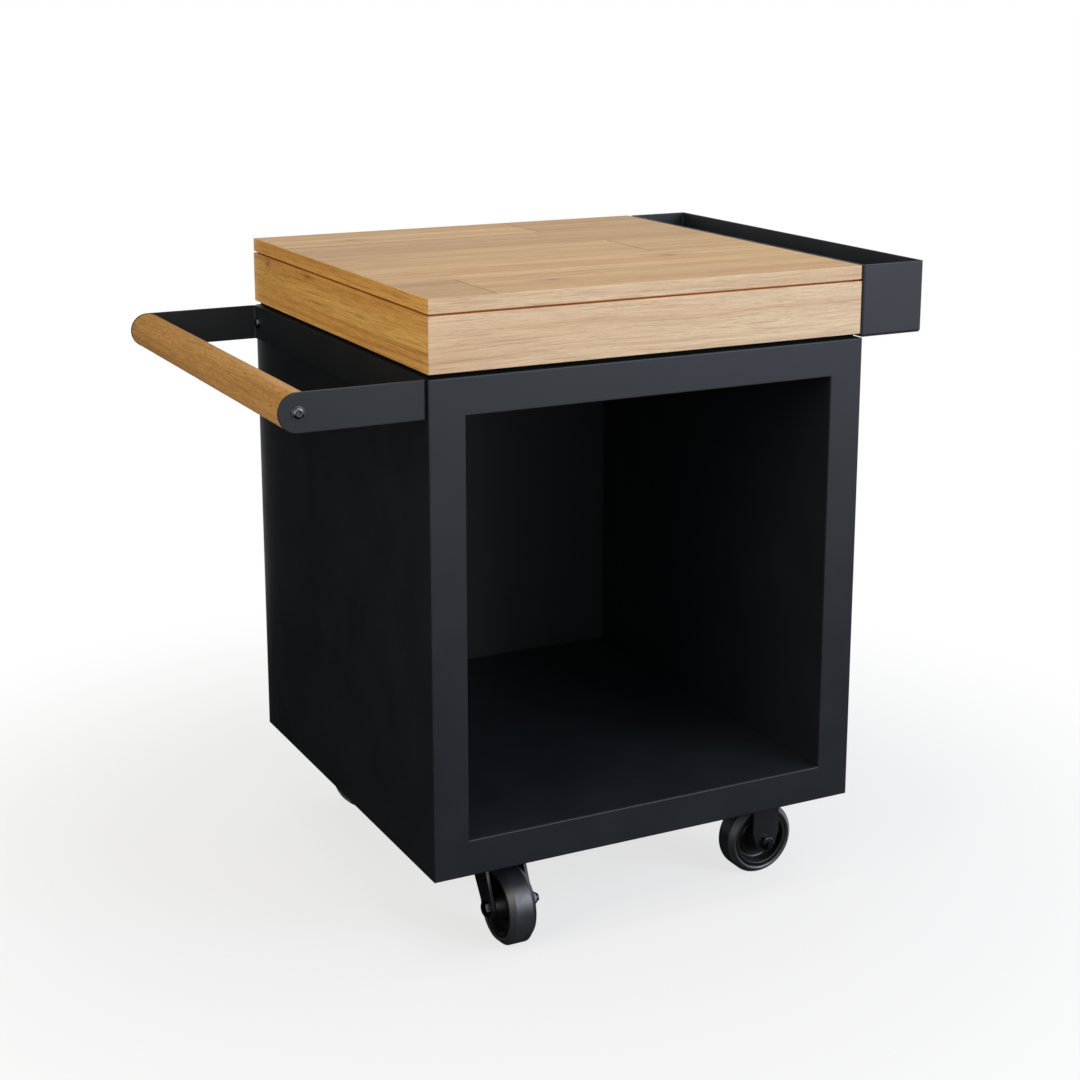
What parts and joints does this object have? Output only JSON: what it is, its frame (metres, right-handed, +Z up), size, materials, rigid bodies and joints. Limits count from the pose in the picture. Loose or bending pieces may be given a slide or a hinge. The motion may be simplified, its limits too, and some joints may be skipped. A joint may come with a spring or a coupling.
{
  "type": "mobile prep table",
  "caption": "Mobile prep table: open steel storage cabinet on swivel and fixed casters, timber worktop with a loose board, side planter trough and a push handle with a round timber bar.",
  "frame": {"origin": "on the floor under the middle of the bounding box", "axes": "+Z up; the open front faces -Y; +X runs from the handle to the planter"},
  "size_m": [0.871, 0.6008, 0.8395],
  "materials": {
    "powder_coated_steel": "fine-textured matt powder coat",
    "worktop_timber": "oiled, edge-glued",
    "bar_timber": "oiled, turned",
    "pad_rubber": "matt",
    "black_fasteners": "black oxide",
    "caster_steel": "black, semi-matt",
    "bearing_steel": "turned",
    "rim_nylon": "moulded",
    "tyre_rubber": "solid rubber"
  },
  "bodies": {
    "trolley": {"front_frame": "powder_coated_steel", "left_side_panel": "powder_coated_steel", "right_side_panel": "powder_coated_steel", "back_panel": "powder_coated_steel", "top_deck": "powder_coated_steel", "base_panel": "powder_coated_steel", "liner_left": "powder_coated_steel", "liner_right": "powder_coated_steel", "liner_ceiling": "powder_coated_steel", "storage_floor": "powder_coated_steel", "caster_channel_left": "powder_coated_steel", "caster_channel_right": "powder_coated_steel", "planter_trough": "powder_coated_steel", "handle_bracket": "powder_coated_steel", "apron_front": "worktop_timber", "apron_back": "worktop_timber", "apron_left": "worktop_timber", "apron_right": "worktop_timber", "worktop_bearers": "worktop_timber", "handle_bar": "bar_timber", "spacer_pads": "pad_rubber", "worktop_screws": "black_fasteners", "planter_bolts": "black_fasteners", "planter_spacers": "black_fasteners", "bar_bolts": "black_fasteners", "bracket_bolts": "black_fasteners", "caster_bolts": "black_fasteners", "front_left_caster_plate": "caster_steel", "front_left_kingpin": "bearing_steel", "rear_left_caster_plate": "caster_steel", "rear_left_kingpin": "bearing_steel", "front_right_fork": "caster_steel", "front_right_axle_bolt": "caster_steel", "front_right_axle_nut": "caster_steel", "front_right_axle_sleeve": "bearing_steel", "rear_right_fork": "caster_steel", "rear_right_axle_bolt": "caster_steel", "rear_right_axle_nut": "caster_steel", "rear_right_axle_sleeve": "bearing_steel"},
    "board": {"prep_board": "worktop_timber", "board_cleats": "worktop_timber"},
    "front_left_wheel": {"front_left_rim": "rim_nylon", "front_left_tyre": "tyre_rubber"},
    "front_left_swivel": {"front_left_fork": "caster_steel", "front_left_axle_bolt": "caster_steel", "front_left_axle_nut": "caster_steel", "front_left_axle_sleeve": "bearing_steel", "front_left_swivel_bearing": "bearing_steel"},
    "rear_left_wheel": {"rear_left_rim": "rim_nylon", "rear_left_tyre": "tyre_rubber"},
    "rear_left_swivel": {"rear_left_fork": "caster_steel", "rear_left_axle_bolt": "caster_steel", "rear_left_axle_nut": "caster_steel", "rear_left_axle_sleeve": "bearing_steel", "rear_left_swivel_bearing": "bearing_steel"},
    "front_right_wheel": {"front_right_rim": "rim_nylon", "front_right_tyre": "tyre_rubber"},
    "rear_right_wheel": {"rear_right_rim": "rim_nylon", "rear_right_tyre": "tyre_rubber"}
  },
  "joints": [
    {"name": "board_lift", "type": "slide", "parent": "trolley", "child": "board", "axis": [0, 0, 1], "range_m": [0, 0.12]},
    {"name": "front_left_swivel_turn", "type": "hinge", "parent": "trolley", "child": "front_left_swivel", "pos_m": [-0.1315, -0.208, 0.1], "axis": [0, 0, 1], "continuous": true},
    {"name": "front_left_wheel_spin", "type": "hinge", "parent": "front_left_swivel", "child": "front_left_wheel", "pos_m": [-0.1315, -0.244, 0.05], "axis": [1, 0, 0], "continuous": true},
    {"name": "rear_left_swivel_turn", "type": "hinge", "parent": "trolley", "child": "rear_left_swivel", "pos_m": [-0.1315, 0.208, 0.1], "axis": [0, 0, 1], "continuous": true},
    {"name": "rear_left_wheel_spin", "type": "hinge", "parent": "rear_left_swivel", "child": "rear_left_wheel", "pos_m": [-0.14082, 0.24277, 0.05], "axis": [-0.9659, -0.2588, 0], "continuous": true},
    {"name": "front_right_wheel_spin", "type": "hinge", "parent": "trolley", "child": "front_right_wheel", "pos_m": [0.2605, -0.208, 0.05], "axis": [0, 1, 0], "continuous": true},
    {"name": "rear_right_wheel_spin", "type": "hinge", "parent": "trolley", "child": "rear_right_wheel", "pos_m": [0.2605, 0.208, 0.05], "axis": [0, 1, 0], "continuous": true}
  ]
}
